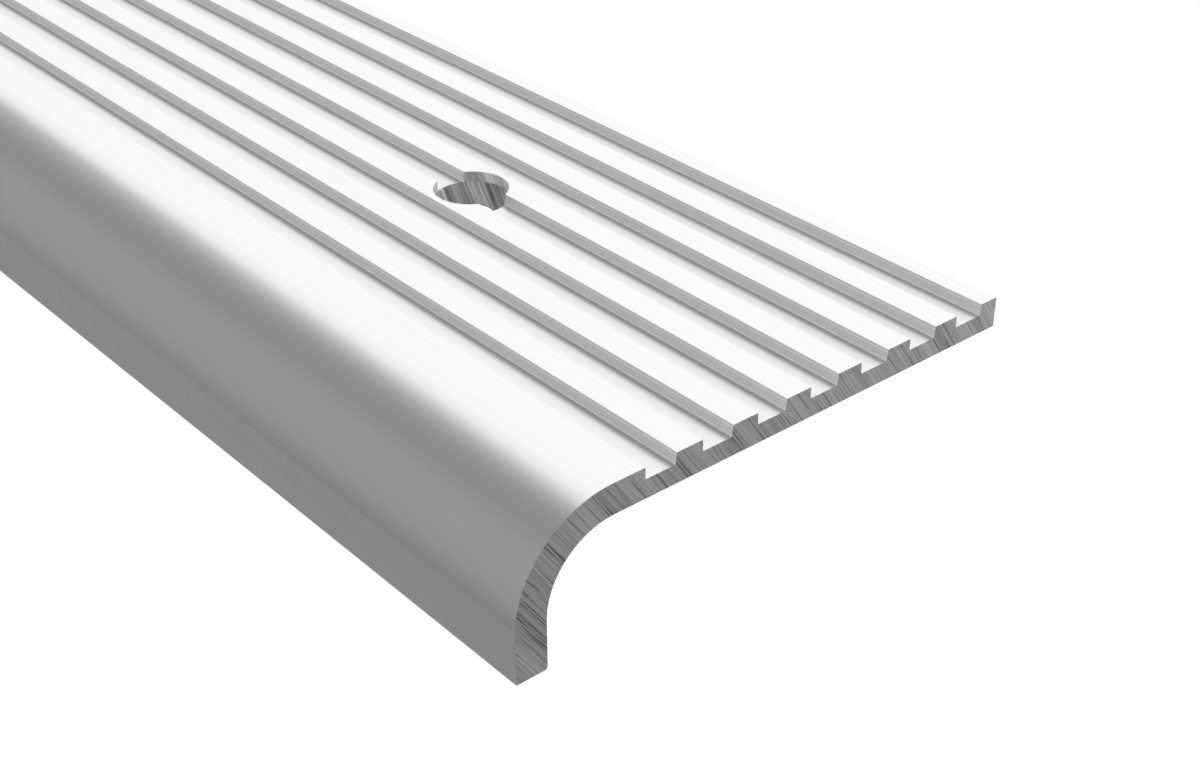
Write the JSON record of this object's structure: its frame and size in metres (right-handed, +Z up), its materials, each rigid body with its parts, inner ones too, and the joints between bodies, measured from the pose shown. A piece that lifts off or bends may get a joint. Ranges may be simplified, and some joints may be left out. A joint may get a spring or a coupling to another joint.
{
  "type": "stair nosing",
  "caption": "L-shaped metal strip with a rounded nose and lengthwise grooves, screwed over the front edge of a stair tread to protect it and give grip.",
  "frame": {"origin": "on the flat underside, on the line of screw holes, halfway along the strip", "axes": "+X along the front edge of the step, +Y from the front of the step towards the back of the tread, +Z up"},
  "size_m": [0.9144, 0.07, 0.0185],
  "materials": {
    "aluminium": "satin mill finish with sawn ends"
  },
  "bodies": {
    "root": {"stair_nosing": "aluminium"}
  },
  "joints": []
}
